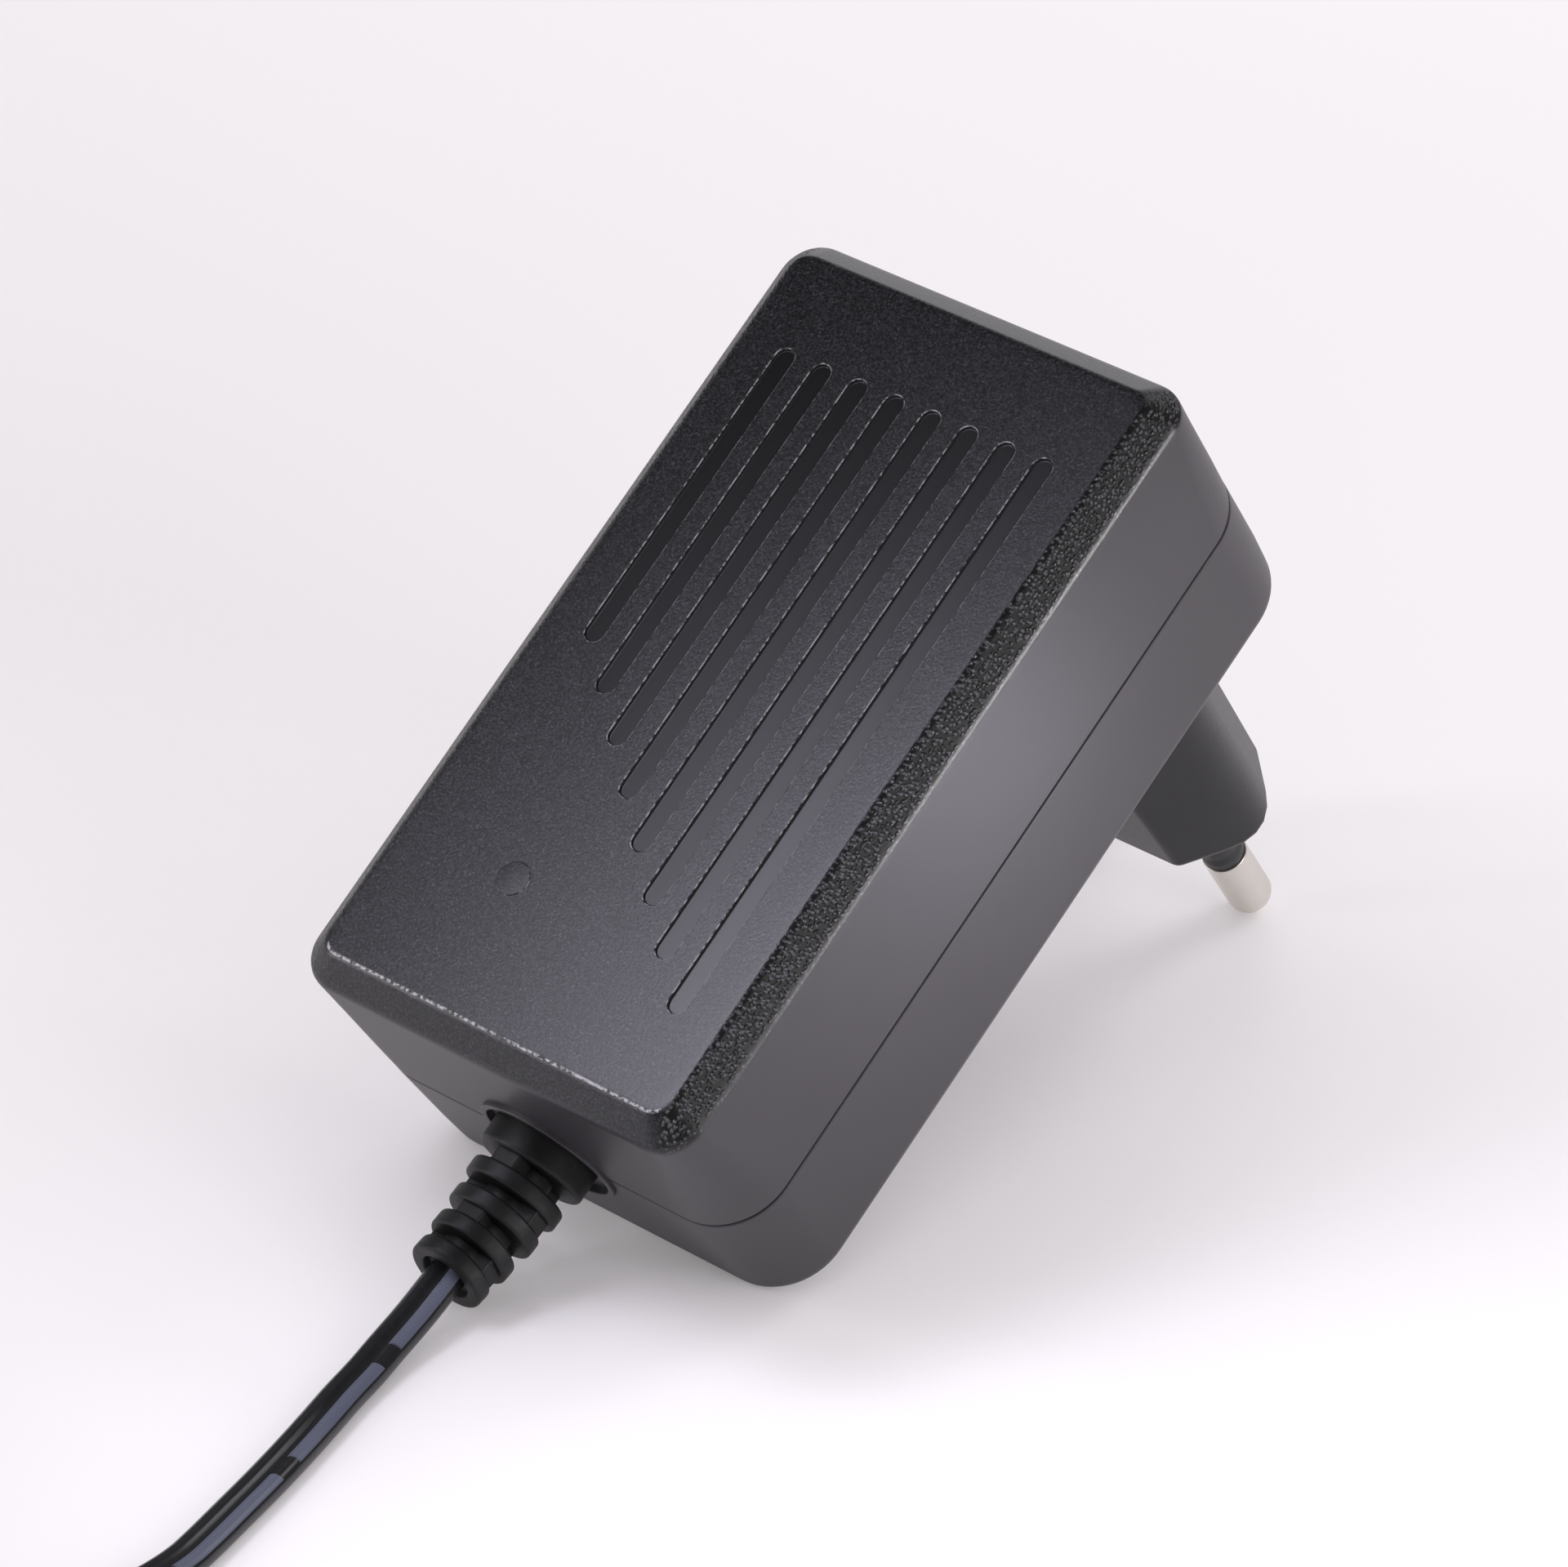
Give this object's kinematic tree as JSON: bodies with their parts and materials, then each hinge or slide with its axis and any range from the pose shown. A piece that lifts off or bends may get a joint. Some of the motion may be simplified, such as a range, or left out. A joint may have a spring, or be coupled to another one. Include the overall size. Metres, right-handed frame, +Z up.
{
  "type": "power adapter",
  "caption": "Plug-in power adapter: moulded two-shell housing with a two-pin mains plug on its rear face and a moulded-on low-voltage lead that ends in a barrel plug.",
  "frame": {"origin": "On the surface, under the middle of the box round the housing and its plug, leaving out the lead and its strain relief", "axes": "+Z up, +Y from the cord end towards the far end with the plug, +X across the housing, to the right as seen from the cord end"},
  "size_m": [0.0634, 0.206, 0.0649],
  "materials": {
    "housing": "fine-grained moulded front, smoother sides",
    "pin_metal": "nickel plated, satin",
    "pin_sleeve": "smooth black",
    "relief": "satin moulded",
    "lead": "glossy, one core with a dashed grey stripe",
    "tie": "soft black strip",
    "insulator": "smooth",
    "board": "lacquered laminate",
    "ferrite": "fine sintered grey",
    "bobbin": "moulded",
    "tape": "wrapped film",
    "can_sleeve": "shrunk sleeve",
    "copper": "lacquered wire",
    "fuse_body": "smooth moulded",
    "chip_body": "moulded",
    "white_body": "moulded",
    "blue_coat": "dipped lacquer",
    "heat_sink": "bent sheet",
    "card": "pressed fibre",
    "blue_wire": "smooth",
    "brown_wire": "smooth",
    "red_wire": "smooth",
    "black_wire": "smooth"
  },
  "bodies": {
    "root": {"front_cover": "housing", "rear_case": "housing", "pin_left": "pin_metal", "pin_right": "pin_metal", "sleeve_left": "pin_sleeve", "sleeve_right": "pin_sleeve", "strain_relief": "relief", "dc_lead": "lead", "dc_lead_coil": "lead", "dc_lead_tail": "lead", "lead_tie": "tie", "plug_grip": "relief", "barrel_contact": "pin_metal", "barrel_insulator": "insulator", "centre_contact": "pin_metal", "circuit_board": "board", "transformer_core": "ferrite", "transformer_bobbin": "bobbin", "transformer_winding": "tape", "bulk_capacitors": "can_sleeve", "input_choke": "copper", "fuse": "fuse_body", "filter_capacitor": "tape", "bridge_rectifier": "chip_body", "controller_chip": "chip_body", "optocoupler": "white_body", "safety_capacitor": "blue_coat", "heat_sink": "heat_sink", "output_rectifier": "chip_body", "output_capacitors": "can_sleeve", "output_inductor": "copper", "insulating_card": "card", "mains_wire_left": "blue_wire", "mains_wire_right": "brown_wire", "output_wire_positive": "red_wire", "output_wire_negative": "black_wire"}
  },
  "joints": []
}
